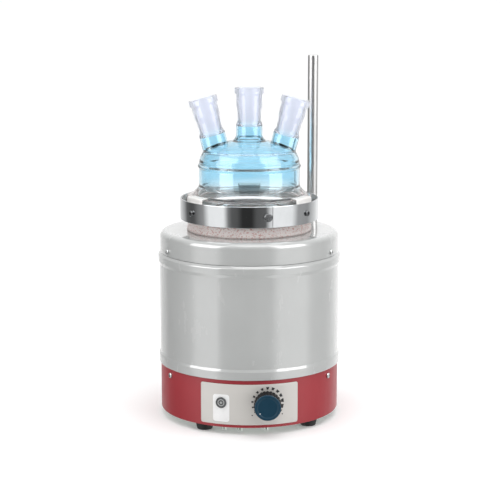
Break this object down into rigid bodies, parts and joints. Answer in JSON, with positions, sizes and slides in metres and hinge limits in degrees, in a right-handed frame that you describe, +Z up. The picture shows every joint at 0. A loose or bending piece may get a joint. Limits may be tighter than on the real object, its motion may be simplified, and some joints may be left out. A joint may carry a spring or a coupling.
{
  "type": "laboratory heating mantle",
  "caption": "Electric heating mantle holding a clamped glass reaction vessel with a multi-neck lid, a power knob on a base band and a support rod at the rear.",
  "frame": {"origin": "on the bench, in the middle of the object's footprint, under the mantle's axis", "axes": "+Z up along the mantle's axis, -Y towards the control panel, +X to the right seen from the front"},
  "size_m": [0.202, 0.2353, 0.3947],
  "materials": {
    "red_paint": "semi-gloss red powder coat",
    "grey_paint": "light grey powder coat",
    "foot_rubber": "matt black rubber",
    "zinc": "zinc plated",
    "screw_steel": "bright steel",
    "rod_steel": "drawn stainless",
    "clamp_steel": "mirror polished stainless",
    "panel_film": "satin cream panel with a printed dial",
    "black_plastic": "moulded black plastic",
    "badge_plastic": "plain dark round badge",
    "blue_plastic": "dark teal blue knob cap",
    "board": "green circuit board",
    "aluminium": "plain aluminium",
    "terminal_plastic": "green terminal block",
    "wool": "mineral wool",
    "glass_weave": "woven glass fibre yarn",
    "glass": "clear borosilicate glass, ground sockets",
    "silicone": "silicone gasket"
  },
  "bodies": {
    "mantle": {"bottom_plate": "zinc", "base_band": "red_paint", "foot_front_left": "foot_rubber", "foot_screw_front_left": "zinc", "foot_front_right": "foot_rubber", "foot_screw_front_right": "zinc", "foot_rear_right": "foot_rubber", "foot_screw_rear_right": "zinc", "foot_rear_left": "foot_rubber", "foot_screw_rear_left": "zinc", "plate_screw_1": "zinc", "plate_screw_2": "zinc", "plate_screw_3": "zinc", "casing": "grey_paint", "top_cover": "grey_paint", "rod_socket": "grey_paint", "cover_screw_1": "screw_steel", "cover_screw_2": "screw_steel", "cover_screw_3": "screw_steel", "cover_screw_4": "screw_steel", "base_screw_1": "screw_steel", "base_screw_2": "screw_steel", "base_screw_3": "screw_steel", "base_screw_4": "screw_steel", "control_panel": "panel_film", "panel_badge": "badge_plastic", "potentiometer": "aluminium", "potentiometer_nut": "zinc", "controller_board": "board", "board_spacer_1": "zinc", "board_spacer_2": "zinc", "board_spacer_3": "zinc", "triac_heat_sink": "aluminium", "terminal_block": "terminal_plastic", "heat_shield": "aluminium", "shield_post_1": "zinc", "shield_post_2": "zinc", "shield_post_3": "zinc", "connection_box": "black_plastic", "mains_inlet": "black_plastic", "insulation": "wool", "heater_jacket": "glass_weave", "rod_socket_nut": "zinc"},
    "power_knob": {"control_knob": "black_plastic", "knob_cap": "blue_plastic", "potentiometer_shaft": "screw_steel"},
    "rod": {"support_rod": "rod_steel"},
    "rod_screw": {"rod_thumb_screw": "black_plastic"},
    "vessel_set": {"reaction_vessel": "glass", "lid_gasket": "silicone", "vessel_lid": "glass", "clamp_band": "clamp_steel", "clamp_claw_left": "screw_steel", "clamp_claw_right": "screw_steel", "clamp_claw_rear": "screw_steel", "claw_screw_left": "screw_steel", "claw_screw_right": "screw_steel", "claw_screw_rear": "screw_steel"},
    "clamp_screw": {"clamp_closing_screw": "screw_steel"},
    "fuse": {"fuse_carrier": "black_plastic"}
  },
  "joints": [
    {"name": "knob_turn", "type": "hinge", "parent": "mantle", "child": "power_knob", "pos_m": [0.0195, -0.1, 0.0355], "axis": [0, 1, 0], "range_deg": [0, 300]},
    {"name": "vessel_lift", "type": "slide", "parent": "mantle", "child": "vessel_set", "axis": [0, 0, 1], "range_m": [0, 0.14]},
    {"name": "clamp_screw_turn", "type": "hinge", "parent": "vessel_set", "child": "clamp_screw", "pos_m": [0.0198, -0.07389, 0.2319], "axis": [0.2588, -0.9659, 0], "range_deg": [0, 540]},
    {"name": "rod_lift", "type": "slide", "parent": "mantle", "child": "rod", "axis": [0, 0, 1], "range_m": [0, 0.038]},
    {"name": "rod_screw_turn", "type": "hinge", "parent": "mantle", "child": "rod_screw", "pos_m": [0.07293, 0.08302, 0.046], "axis": [0.66, 0.7513, 0], "range_deg": [0, 540]},
    {"name": "fuse_turn", "type": "hinge", "parent": "mantle", "child": "fuse", "pos_m": [0.018, 0.1, 0.034], "axis": [0, 1, 0], "range_deg": [0, 90]}
  ]
}
